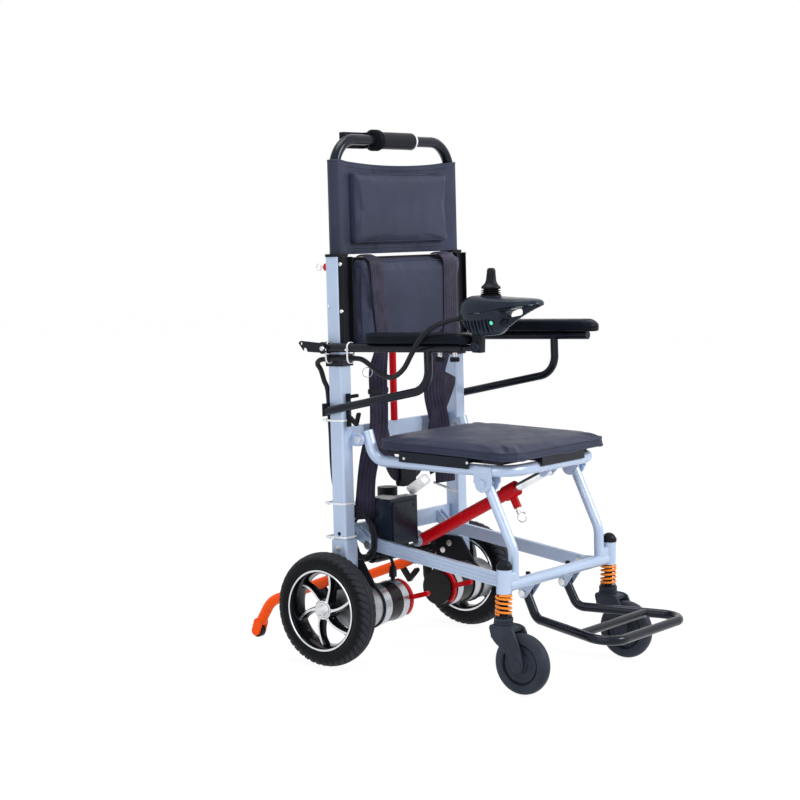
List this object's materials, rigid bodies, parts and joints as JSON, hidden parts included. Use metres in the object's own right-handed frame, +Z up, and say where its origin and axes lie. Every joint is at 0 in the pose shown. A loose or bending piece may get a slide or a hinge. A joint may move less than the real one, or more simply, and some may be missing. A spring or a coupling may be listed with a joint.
{
  "type": "stair_climbing_wheelchair",
  "caption": "Folding stair climbing wheelchair with joystick drive, leaning square posts, padded back and head rest, sprung casters and swinging climb arms",
  "frame": {"origin": "on the floor, under the middle of the chair's overall box", "axes": "+Z up, -Y forward (the way the user faces), +X to the user's left"},
  "size_m": [0.587, 0.9742, 1.162],
  "materials": {
    "frame": "satin silver coat",
    "black_tube": "gloss black coat",
    "black_plastic": "matt moulded",
    "leatherette": "soft grain",
    "webbing": "woven",
    "tyre": "matt",
    "rim": "gloss black, machined faces",
    "steel": "zinc plated",
    "motor": "black can with silver rings",
    "gear_grey": "cast",
    "red_paint": "gloss red",
    "orange_paint": "satin orange",
    "spring_orange": "satin orange",
    "caster_rubber": "matt",
    "cable": "matt"
  },
  "bodies": {
    "chassis": {"back_posts": "frame", "post_sleeves": "frame", "post_fittings": "black_plastic", "seat_cross_bar": "frame", "lower_cross_bar": "frame", "centre_stay": "red_paint", "back_board": "black_plastic", "back_pad": "leatherette", "harness": "webbing", "belt_buckles": "black_plastic", "battery_box": "black_plastic", "controller_box": "black_plastic", "drive_gearboxes": "gear_grey", "drive_motors": "motor", "motor_plates": "black_tube", "climb_gearbox": "black_tube", "armrest_brackets": "black_tube", "frame_bolts": "steel", "wiring": "cable"},
    "handle": {"handle_bar": "black_tube", "handle_grip": "black_plastic", "head_sling": "leatherette", "head_pad": "leatherette"},
    "climb_switch_b": {"climb_switch": "black_plastic"},
    "plunger": {"lock_plunger": "red_paint"},
    "seat": {"seat_frame": "frame", "seat_board": "black_plastic", "seat_cushion": "leatherette"},
    "rails": {"side_rails": "frame"},
    "front": {"front_frame": "frame", "front_caps": "black_plastic", "front_bolts": "steel", "caster_spring_right": "spring_orange", "caster_spring_left": "spring_orange"},
    "strut_outer": {"strut_tube": "red_paint"},
    "strut_inner": {"strut_rod": "steel"},
    "strut_lock": {"strut_pin": "steel"},
    "foot": {"footrest": "black_tube"},
    "arm_right": {"armrest_right": "black_tube", "arm_pad_right": "black_plastic", "joystick_housing": "black_plastic", "control_cable": "cable"},
    "stick": {"joystick_stick": "black_plastic"},
    "arm_left": {"armrest_left": "black_tube", "arm_pad_left": "black_plastic"},
    "climb": {"climb_arms": "orange_paint"},
    "wheel_b_right": {"wheel_right": "rim", "tyre_right": "tyre"},
    "stem_right": {"caster_stem_right": "steel"},
    "fork_right": {"caster_fork_right": "black_plastic"},
    "caster_right": {"caster_wheel_right": "caster_rubber"},
    "roller_right": {"climb_roller_right": "black_plastic"},
    "brake_right": {"brake_lever_right": "red_paint"},
    "wheel_b_left": {"wheel_left": "rim", "tyre_left": "tyre"},
    "stem_left": {"caster_stem_left": "steel"},
    "fork_left": {"caster_fork_left": "black_plastic"},
    "caster_left": {"caster_wheel_left": "caster_rubber"},
    "roller_left": {"climb_roller_left": "black_plastic"},
    "brake_left": {"brake_lever_left": "red_paint"}
  },
  "joints": [
    {"name": "seat_fold", "type": "hinge", "parent": "chassis", "child": "seat", "pos_m": [0, 0.146, 0.491], "axis": [-1, 0, 0], "range_deg": [0, 78]},
    {"name": "rail_swing", "type": "hinge", "parent": "chassis", "child": "rails", "pos_m": [0, 0.145, 0.257], "axis": [-1, 0, 0], "range_deg": [0, 71.5]},
    {"name": "front_swing", "type": "hinge", "parent": "rails", "child": "front", "pos_m": [0, -0.211, 0.216], "axis": [-1, 0, 0], "range_deg": [-75.5, 0]},
    {"name": "strut_swing", "type": "hinge", "parent": "chassis", "child": "strut_outer", "pos_m": [0, 0.117, 0.247], "axis": [-1, 0, 0], "range_deg": [0, 51]},
    {"name": "strut_extend", "type": "slide", "parent": "strut_outer", "child": "strut_inner", "axis": [0, -0.8712, 0.491], "range_m": [0, 0.2135]},
    {"name": "strut_release", "type": "slide", "parent": "strut_outer", "child": "strut_lock", "axis": [0, -0.491, -0.8712], "range_m": [0, 0.008], "stiffness_N_per_m": 800, "springref_m": -0.004},
    {"name": "footrest_flip", "type": "hinge", "parent": "front", "child": "foot", "pos_m": [0, -0.218, 0.183], "axis": [-1, 0, 0], "range_deg": [0, 80]},
    {"name": "armrest_right_flip", "type": "hinge", "parent": "chassis", "child": "arm_right", "pos_m": [-0.2435, 0.2, 0.692], "axis": [-1, 0, 0], "range_deg": [0, 50]},
    {"name": "armrest_left_flip", "type": "hinge", "parent": "chassis", "child": "arm_left", "pos_m": [0.2435, 0.2, 0.692], "axis": [-1, 0, 0], "range_deg": [0, 50]},
    {"name": "joystick_tilt", "type": "hinge", "parent": "arm_right", "child": "stick", "pos_m": [-0.25, -0.233, 0.815], "axis": [1, 0, 0], "range_deg": [-15, 15], "stiffness_Nm_per_rad": 0.6},
    {"name": "handle_raise", "type": "slide", "parent": "chassis", "child": "handle", "axis": [0, 0.0419, 0.9991], "range_m": [0, 0.15]},
    {"name": "climb_switch_rock", "type": "hinge", "parent": "handle", "child": "climb_switch_b", "pos_m": [-0.123, 0.23213, 1.13895], "axis": [1, 0, 0], "range_deg": [-8, 8], "stiffness_Nm_per_rad": 0.5},
    {"name": "plunger_pull", "type": "slide", "parent": "chassis", "child": "plunger", "axis": [0, 0.9991, -0.0419], "range_m": [0, 0.008], "stiffness_N_per_m": 800, "springref_m": -0.004},
    {"name": "wheel_right_spin", "type": "hinge", "parent": "chassis", "child": "wheel_b_right", "pos_m": [-0.2675, 0.175, 0.125], "axis": [1, 0, 0], "continuous": true},
    {"name": "caster_right_travel", "type": "slide", "parent": "front", "child": "stem_right", "axis": [0, 0, 1], "range_m": [0, 0.012], "stiffness_N_per_m": 9000, "springref_m": -0.014, "deforming": ["caster_spring_right"]},
    {"name": "caster_right_swivel", "type": "hinge", "parent": "stem_right", "child": "fork_right", "pos_m": [-0.209, -0.247, 0.14], "axis": [0, 0, 1], "continuous": true},
    {"name": "caster_right_spin", "type": "hinge", "parent": "fork_right", "child": "caster_right", "pos_m": [-0.209, -0.296, 0.064], "axis": [1, 0, 0], "continuous": true},
    {"name": "wheel_left_spin", "type": "hinge", "parent": "chassis", "child": "wheel_b_left", "pos_m": [0.2675, 0.175, 0.125], "axis": [1, 0, 0], "continuous": true},
    {"name": "caster_left_travel", "type": "slide", "parent": "front", "child": "stem_left", "axis": [0, 0, 1], "range_m": [0, 0.012], "stiffness_N_per_m": 9000, "springref_m": -0.014, "deforming": ["caster_spring_left"]},
    {"name": "caster_left_swivel", "type": "hinge", "parent": "stem_left", "child": "fork_left", "pos_m": [0.209, -0.247, 0.14], "axis": [0, 0, 1], "continuous": true},
    {"name": "caster_left_spin", "type": "hinge", "parent": "fork_left", "child": "caster_left", "pos_m": [0.209, -0.296, 0.064], "axis": [1, 0, 0], "continuous": true},
    {"name": "climb_swing", "type": "hinge", "parent": "chassis", "child": "climb", "pos_m": [0, 0.213, 0.206], "axis": [1, 0, 0], "range_deg": [-40, 60]},
    {"name": "roller_right_spin", "type": "hinge", "parent": "climb", "child": "roller_right", "pos_m": [-0.15, 0.472, 0.016], "axis": [1, 0, 0], "continuous": true},
    {"name": "brake_right_release", "type": "hinge", "parent": "chassis", "child": "brake_right", "pos_m": [-0.083, 0.125, 0.125], "axis": [-1, 0, 0], "range_deg": [0, 25]},
    {"name": "roller_left_spin", "type": "hinge", "parent": "climb", "child": "roller_left", "pos_m": [0.15, 0.472, 0.016], "axis": [1, 0, 0], "continuous": true},
    {"name": "brake_left_release", "type": "hinge", "parent": "chassis", "child": "brake_left", "pos_m": [0.083, 0.125, 0.125], "axis": [-1, 0, 0], "range_deg": [0, 25]}
  ],
  "couplings": [
    {"joint": "rail_swing", "follows": "seat_fold", "ratio": 0.91416},
    {"joint": "front_swing", "follows": "seat_fold", "ratio": -0.9645},
    {"joint": "strut_swing", "follows": "seat_fold", "ratio": 0.64917},
    {"joint": "strut_extend", "follows": "seat_fold", "m_per_rad": 0.15661}
  ]
}
